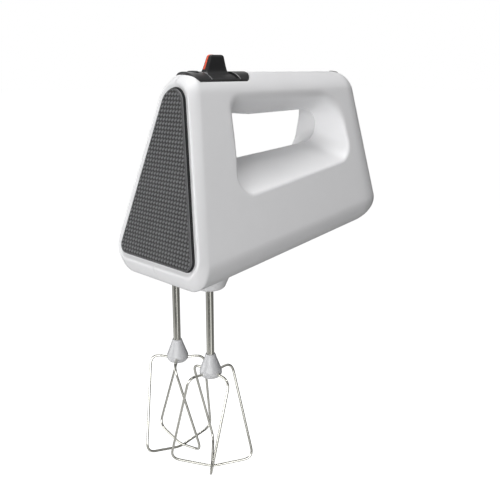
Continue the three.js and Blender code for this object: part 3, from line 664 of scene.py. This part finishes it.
def plate():
    """The textured plate: a sheet of small pillows on a square grid, with rounded edges, and a painted shade
    mask for its colour.
    """
    xs = np.arange(-40, 40.01, PLATE_STEP)
    zs = np.arange(-121, -5, PLATE_STEP)
    grid = np.stack(np.meshgrid(xs, zs, indexing="ij"), -1)

    def inside_by(p):
        return -(outline_distance(np.abs(p[..., 0]), p[..., 1], *SEAT) + PLATE_INSET)

    centre = (grid[:-1, :-1] + grid[1:, 1:]) / 2
    keep = inside_by(centre) > 0
    ids = np.arange(grid.shape[0] * grid.shape[1]).reshape(grid.shape[:2])
    quads = np.stack([ids[:-1, :-1], ids[1:, :-1], ids[1:, 1:], ids[:-1, 1:]], -1)[keep]
    touching = np.bincount(quads.ravel(), minlength=ids.size)
    used = np.flatnonzero(touching)
    rim = touching[used] < 4
    flat = grid.reshape(-1, 2)[used]
    nudge = 0.01
    for _ in range(3):
        d = inside_by(flat)
        slope = np.stack([inside_by(flat + (nudge, 0)) - d, inside_by(flat + (0, nudge)) - d], -1) / nudge
        flat = flat - np.where(rim[:, None], slope * d[:, None], 0)
    inner = np.clip(inside_by(flat), 0, None)
    edge = np.clip(1 - inner / 0.45, 0, 1)
    round_off = 0.4 * (1 - np.sqrt(np.maximum(0, 1 - edge * edge)))
    u = 2 * math.pi * flat[:, 0] / PITCH[0]
    v = 2 * math.pi * flat[:, 1] / PITCH[1]
    pillow = np.clip(0.35 + (np.cos(u) + 1.3 * np.cos(v) + 0.9 * np.cos(u - v)) / 4.6, 0, 1)
    fade = np.clip((inner - 0.5) / 0.6, 0, 1)  # no pillows at the rim
    depth = -0.85 + round_off + TUFT * (1 - pillow) * fade
    top = on_front(flat, depth)
    back = on_front(flat, np.full(len(flat), 0.5))
    renumber = np.full(ids.size, -1)
    renumber[used] = np.arange(len(used))
    quads = renumber[quads]
    edges = np.concatenate([quads[:, [i, (i + 1) % 4]] for i in range(4)])
    edge_set = {(a, b) for a, b in edges.tolist()}
    walls = [(b, a, a + len(flat), b + len(flat)) for a, b in edge_set if (b, a) not in edge_set]
    faces = quads.tolist() + (quads[:, ::-1] + len(flat)).tolist() + walls
    # Painted shade mask: low in the grooves between the pillows, 0.4 at the rim and 1 on the back; the colour
    # darkens where it is low.
    relief = np.concatenate([0.4 * (1 - fade) + pillow * fade, np.ones(len(flat))])
    return np.concatenate([top, back]), faces, relief


points, faces, relief = plate()
panel = piece("panel_plate", points, faces, "housing", "panel_grey", ["front_panel"], crease=60)
# The relief attribute carries the painted shade of the plate's grooves and rim.
panel.data.attributes.new("relief", "FLOAT", "POINT").data.foreach_set("value", relief)


# ---------------------------------------------------------------- saddle, selector, button

def off_drum(y):
    """Distance past the ends of the drum."""
    return np.abs(y - sum(DRUM_Y) / 2) - (DRUM_Y[1] - DRUM_Y[0]) / 2


def oval(x, y, grow):
    """Distance to the eject button's plan, grown by grow."""
    a, b = 4.5 + grow, 3 + grow
    return (np.hypot(x / a, (y - BUTTON_Y) / b) - 1) * b


def saddle(points):
    """The black cover: a bent sheet with a window for the drum and a hole for the eject button."""
    x, y, z = points.T
    radius = np.hypot(x, z + HANDLE_R)
    slot_y = off_drum(y) - 0.4
    window = np.maximum(np.abs(x) - WINDOW_X, slot_y)
    under_rim = np.maximum(radius - SADDLE_R + 1, slot_y)  # the drum's ends run under the window's rim
    outer = smooth_max(saddle_plan(x, y), radius - SADDLE_R, 0.9)
    sheet = np.maximum(outer, SADDLE_R - SHEET - radius)
    sheet = smooth_max(sheet, -window, 0.4)
    sheet = np.maximum(sheet, -under_rim)
    sheet = smooth_max(sheet, -oval(x, y, 0.4), 0.4)
    return np.maximum(sheet, -12.5 - z)


points, faces = contour(saddle, (-13.5, -6.5, -8), (13.5, 50, 1.6), FINE_STEP)
piece("selector_saddle", points, faces, "housing", "trim_black", ["switch_saddle"])


def fin(x, y, z):
    """Distance to the thumb fin, which flares where it meets the drum."""
    rise = z + 2.2
    flare = np.exp(-np.maximum(rise, -1) / 1.7)
    half_x = 2.95 - 0.055 * rise + 1.5 * flare
    front = 12.1 + 0.385 * rise - 1.2 * flare
    rear = 32.2 - 0.22 * rise + 0.9 * flare
    half_y = (rear - front) / 2
    corner = np.minimum(half_x, 2.2)
    qx = np.abs(x) - half_x + corner
    qy = np.abs(y - (front + rear) / 2) - half_y + corner
    plan = np.hypot(np.maximum(qx, 0), np.maximum(qy, 0)) + np.minimum(np.maximum(qx, qy), 0) - corner
    return smooth_max(plan * 0.94, np.maximum(z - FIN_TOP, -4 - z), 1.8)


def stripe_bed(x, y, z, grow):
    """Distance to the band along the fin's front edge and just over its top."""
    return np.maximum(np.maximum(np.abs(x) - 0.8 - grow, 1.6 - grow - z), y - 20.6 - grow)


def selector(points):
    """The drum's sector with the fin on it, less the bed of the stripe."""
    x, y, z = points.T
    radius = np.hypot(x, z + HANDLE_R)
    drum = np.maximum(np.abs(radius - DRUM_R + 0.9) - 0.9, off_drum(y))
    drum = np.maximum(drum, np.abs(x) * math.cos(DRUM_SPREAD) - (z + HANDLE_R) * math.sin(DRUM_SPREAD))
    body = smooth_min(drum, np.maximum(fin(x, y, z), DRUM_R - 1.2 - radius), 1.6)
    body = smooth_max(body, off_drum(y), 0.3)
    bed = np.maximum(-(fin(x, y, z) + 0.55), stripe_bed(x, y, z, 0.05))
    return np.maximum(body, -bed)


def stripe(points):
    """The orange mark: the fin's outermost layer inside the bed."""
    x, y, z = points.T
    skin = fin(x, y, z)
    return smooth_max(np.maximum(skin - 0.1, -skin - 0.5), stripe_bed(x, y, z, 0), 0.15)


points, faces = contour(selector, (-15.6, 9.8, -11.5), (15.6, 34.4, 11), FINE_STEP)
piece("selector_fin", points, faces, "selector", "trim_black", ["speed_selector"])
points, faces = contour(stripe, (-1.6, 11, 0.6), (1.6, 22, 11), FINE_STEP * 0.6)
piece("selector_mark", points, faces, "selector", "stripe_orange", ["selector_stripe"])


def button(points):
    """The oval eject button with its low dome, on a stem that goes down inside the return spring."""
    x, y, z = points.T
    dome = z - 0.85 + 0.012 * x * x + 0.03 * (y - BUTTON_Y) ** 2
    head = np.maximum(smooth_max(oval(x, y, 0), dome, 0.9), -3.1 - z)
    stem = np.maximum(oval(x, y, -1), np.abs(z + 6) - 3)
    return np.minimum(head, stem)


points, faces = contour(button, (-5.4, 0.4, -9.6), (5.4, 8, 1.6), FINE_STEP)
piece("eject_cap", points, faces, "ejector", "trim_black", ["eject_button"])


def on_saddle(x, y, lift):
    """A point on the saddle's curved top, at arc position x from the middle."""
    angle = x / SADDLE_R
    r = SADDLE_R + lift
    return (r * math.sin(angle), y, r * math.cos(angle) - HANDLE_R)


def saddle_line(y, start, end):
    """A painted highlight across the saddle along an edge of its window: a thin light grey strip, from arc
    position start to end.
    """
    half = 0.175
    corners = [(-half, -0.1), (half, -0.1), (half, 0.03), (-half, 0.03)]  # (y, lift)
    return loft([np.array([on_saddle(x, y + dy, lift) for dy, lift in corners])
                 for x in np.linspace(start, end, 25)])


# Painted highlights: thin light grey strips just outside the front and rear edges of the saddle's window.
for word, start, end in (("right", 13.2, 4.0), ("left", -13.2, -4.0)):
    for place, y in (("front", DRUM_Y[0] - 0.75), ("rear", DRUM_Y[1] + 0.75)):
        points, faces = saddle_line(y, start, end)
        piece(f"saddle_line_{place}_{word}", points, faces, "housing", "trim_black", look="mark_grey")

for digit in range(5):
    text = bpy.data.curves.new(f"digit_{digit}", "FONT")
    text.body = str(digit)
    text.size = 2.0
    text.extrude = 0.05
    text.resolution_u = 3
    text.align_x = "CENTER"
    letter = bpy.data.objects.new(f"digit_curve_{digit}", text)
    scene.collection.objects.link(letter)
    bpy.context.view_layer.update()
    flat = letter.to_mesh()
    across = (digit - 2) * 2.3
    points = [on_saddle(across + p.co.x, 7.5 + p.co.y, p.co.z * 0.8) for p in flat.vertices]
    faces = [tuple(f.vertices) for f in flat.polygons]
    letter.to_mesh_clear()
    bpy.data.objects.remove(letter)
    piece(f"dial_digit_{digit}", points, faces, "housing", "trim_black", look="mark_grey")


# ---------------------------------------------------------------- cap and bushing

cap = [(0.01, -1.2, 0), (3.4, -1.2, 0), (3.4, 0.2, 0.3), (2.8, 0.42, 0.5), (0.01, 0.44, 0)]
points, faces = turned(cap, "z", (0, 0, 0), 48)
lean_cos, lean_sin = math.cos(CAP_TILT), math.sin(CAP_TILT)
tilt = np.array([[1, 0, 0], [0, lean_cos, -lean_sin], [0, lean_sin, lean_cos]])
points = points @ tilt + CAP_AT
piece("rear_cap", points, faces, "housing", "cap_grey", ["screw_cap"])

ribs = [(3.4, 0, 0), (6.5, 0, 0.2), (6.5, 11, 0.2), (8.4, 11.1, 0.4), (8.3, 12, 0.3), (7.4, 12.2, 0.2),
        (7.2, 12.7, 0.2), (6.4, 12.9, 0.2), (6.2, 13.3, 0.2), (5.2, 13.9, 0.3), (3.4, 14, 0.3)]
points, faces = turned(ribs, "y", (0, BUSHING_Y, BUSHING_Z), 48)
piece("cord_grommet", points, faces, "housing", "trim_black", ["cord_bushing"])


# ---------------------------------------------------------------- beaters

def bend(before, at, after, reach):
    """Points round a bend at a corner, starting and ending reach away from it."""
    a = at + (before - at) * reach / np.linalg.norm(before - at)
    b = at + (after - at) * reach / np.linalg.norm(after - at)
    t = np.linspace(0, 1, 9)[:, None]
    return (1 - t) ** 2 * a + 2 * t * (1 - t) * at + t * t * b


def polar(r, angle, z):
    """The point at radius r and an angle about the z axis."""
    return np.array([r * math.cos(angle), r * math.sin(angle), z])


def wire_path(size, phase, twist):
    """The bent wire of one loop: out of the hub, down, under the beater and back up the other side."""
    stations = [(3.6, 0, -197.2 + size * 1.2), (ARM_R, 0, -195.4 - size * 1.8),
                (LOOP_R[size], twist, LOOP_BOTTOM[size])]
    down = [polar(r, phase + lag, z) for r, lag, z in stations]
    up = [polar(r, phase + math.pi + lag, z) for r, lag, z in reversed(stations)]
    corners = [*down, np.array([0, 0, CROSS_Z[size]]), *up]
    bends = [bend(*corners[i:i + 3], reach) for i, reach in enumerate((7, 7, 5, 7, 7))]
    path = [corners[0][None]]
    for points in [*bends, corners[-1][None]]:
        gap = points[0] - path[-1][-1]
        count = max(2, int(np.linalg.norm(gap) / 3))
        path.append(path[-1][-1] + gap * (np.arange(1, count)[:, None] / count))
        path.append(points)
    return np.concatenate(path)


for word, side, phase in (("right", 1, math.pi / 2), ("left", -1, math.pi / 4)):
    at = np.array([side * SPINDLE_X, 0, 0])
    body = f"beater_{word}"
    shaft = [(0.01, SHAFT_TOP, 0), (1.6, SHAFT_TOP, 0.2), (SHAFT_R, SHAFT_TOP - 1.3, 0.6),
             (SHAFT_R, -92, 0.3), (2.1, -92.6, 0.2), (2.1, -94.4, 0.2), (SHAFT_R, -95, 0.3),
             (SHAFT_R, HUB_TOP - 8, 0), (0.01, HUB_TOP - 8, 0)]
    points, faces = turned(shaft, "z", at, 48)
    piece(f"shaft_{word}", points, faces, body, "steel", [f"beater_shaft_{word}"])
    hub = [(SHAFT_R + 0.1, HUB_TOP, 0), (3.3, HUB_TOP, 0.3), (3.75, HUB_TOP - 1.4, 0.5),
           (4.1, HUB_TOP - 2.6, 1.0), (7.5, HUB_BOTTOM + 5, 2.5), (7.6, HUB_BOTTOM + 2.4, 1.5),
           (5.6, HUB_BOTTOM, 2), (0.01, HUB_BOTTOM, 0), (0.01, HUB_TOP - 8.3, 0),
           (SHAFT_R + 0.1, HUB_TOP - 8.3, 0)]
    points, faces = turned(hub, "z", at, 64)
    piece(f"hub_{word}", points, faces, body, "hub_grey", [f"beater_hub_{word}"])
    for size, kind in enumerate(("large", "small")):
        path = wire_path(size, phase + size * math.pi / 2, -side * TWIST)
        points, faces = tube(path + at, WIRE_R, 14)
        piece(f"wire_{word}_{kind}", points, faces, body, "steel", [f"beater_wire_{word}_{kind}"])


# ---------------------------------------------------------------- parts kept from the frame

for part in frame["record"]["subparts"]:
    kept = frame["nodes"][part["node"]]
    if kept.data.materials:
        kept.data.materials[0] = FINISHES[part["material_slot"]]
    else:
        kept.data.materials.append(FINISHES[part["material_slot"]])


# ---------------------------------------------------------------- studio

MIDDLE = (0, -0.03, -0.08)  # what the lamps point at, in metres
LAMP_DISTANCE = 1.5
LAMP_SIZE = 0.9
LAMPS = [  # name, azimuth from -Y towards +X and height in degrees, power
    ("front_left", -45, 5, 7),
    ("front", 20, 5, 8.5),
    ("front_right", 45, 5, 8.5),
    ("rear_right", 140, 40, 2),
    ("rear_left", -120, 40, 4),
    ("top", 0, 90, 17),
]
MIRRORED_BOXES = [(-15, 15, 0.9), (-132, 30, 0.4), (75, 12, 0.2)]  # azimuth, half width, brightness
DIM = 0.06  # what metal mirrors between the boxes
FILL = 0.02  # strength of the even light from all round
CAMERA_AT = (0.35404, -0.35624, 0.01816)
CAMERA_AIM = (-0.69954, 0.66845, -0.25264)
CAMERA_LENS = 50.53


def soft_light(name, azimuth, height, power):
    """A square soft box in a direction from the middle, turned towards it."""
    around, raised = math.radians(azimuth), math.radians(height)
    level = LAMP_DISTANCE * math.cos(raised)
    offset = Vector((level * math.sin(around), -level * math.cos(around), LAMP_DISTANCE * math.sin(raised)))
    lamp = bpy.data.lights.new(name, "AREA")
    lamp.shape = "SQUARE"
    lamp.size = LAMP_SIZE
    lamp.energy = power
    made = bpy.data.objects.new(name, lamp)
    made.location = Vector(MIDDLE) + offset
    made.rotation_euler = (-offset).to_track_quat("-Z", "Y").to_euler()
    scene.collection.objects.link(made)


def soft_boxes(tree, towards):
    """Brightness that metal mirrors in a direction: dim, with soft-edged bands at MIRRORED_BOXES."""
    axes = node(tree, "ShaderNodeSeparateXYZ", {"Vector": towards}).outputs
    turn = math_node(tree, "ARCTAN2", axes["Y"], axes["X"])
    bright = DIM
    for azimuth, half, level in MIRRORED_BOXES:
        distance = math_node(tree, "ABSOLUTE", math_node(tree, "SUBTRACT", turn, math.radians(azimuth)))
        box = spread(tree, distance, math.radians(half * 0.75), math.radians(half * 1.25), level, 0)
        bright = math_node(tree, "ADD", bright, box)
    return bright


def surroundings():
    """A white backdrop for the camera, the soft boxes for mirrors and a faint even light for the rest."""
    world = bpy.data.worlds.new("studio")
    world.use_nodes = True
    tree = world.node_tree
    backdrop = tree.nodes["Background"]
    backdrop.inputs["Color"].default_value = (1, 1, 1, 1)
    rays = node(tree, "ShaderNodeLightPath").outputs
    mirrored = soft_boxes(tree, node(tree, "ShaderNodeTexCoord").outputs["Generated"])
    fill = node(tree, "ShaderNodeMix", {"Factor": rays["Is Glossy Ray"], "A": FILL, "B": mirrored})
    seen = {"Factor": rays["Is Camera Ray"], "A": fill.outputs["Result"], "B": 1.0}
    whole = node(tree, "ShaderNodeMix", seen)
    tree.links.new(whole.outputs["Result"], backdrop.inputs["Strength"])
    return world


def floor_paint():
    """A pale floor that looks white to the camera and mirrors as the surroundings do."""
    material = bpy.data.materials.new("floor")
    material.use_nodes = True
    tree = material.node_tree
    paint = tree.nodes["Principled BSDF"]
    paint.inputs["Base Color"].default_value = (0.4, 0.4, 0.4, 1)
    paint.inputs["Roughness"].default_value = 0.9
    paint.inputs["Specular IOR Level"].default_value = 0.0
    paint.inputs["Emission Color"].default_value = (1, 1, 1, 1)
    rays = node(tree, "ShaderNodeLightPath").outputs
    mirrored = soft_boxes(tree, node(tree, "ShaderNodeNewGeometry").outputs["Position"])
    glow = math_node(tree, "ADD", math_node(tree, "MULTIPLY", rays["Is Glossy Ray"], mirrored),
                     rays["Is Camera Ray"])
    tree.links.new(glow, paint.inputs["Emission Strength"])
    return material


for lamp_row in LAMPS:
    soft_light(*lamp_row)
scene.world = surroundings()

floor_z = cad_bounds[0][2] - 0.45
corners = [(x, y, floor_z) for x, y in ((-20, -20), (20, -20), (20, 20), (-20, 20))]
floor_mesh = bpy.data.meshes.new("floor")
floor_mesh.from_pydata(corners, [], [(0, 1, 2, 3)])
floor_mesh.materials.append(floor_paint())
floor = bpy.data.objects.new("floor", floor_mesh)
scene.collection.objects.link(floor)

lens = bpy.data.cameras.new("camera")
lens.lens = CAMERA_LENS
lens.sensor_width = 36
camera = bpy.data.objects.new("camera", lens)
camera.location = CAMERA_AT
camera.rotation_euler = Vector(CAMERA_AIM).to_track_quat("-Z", "Y").to_euler()
scene.collection.objects.link(camera)
scene.camera = camera
scene.view_settings.view_transform = "Standard"
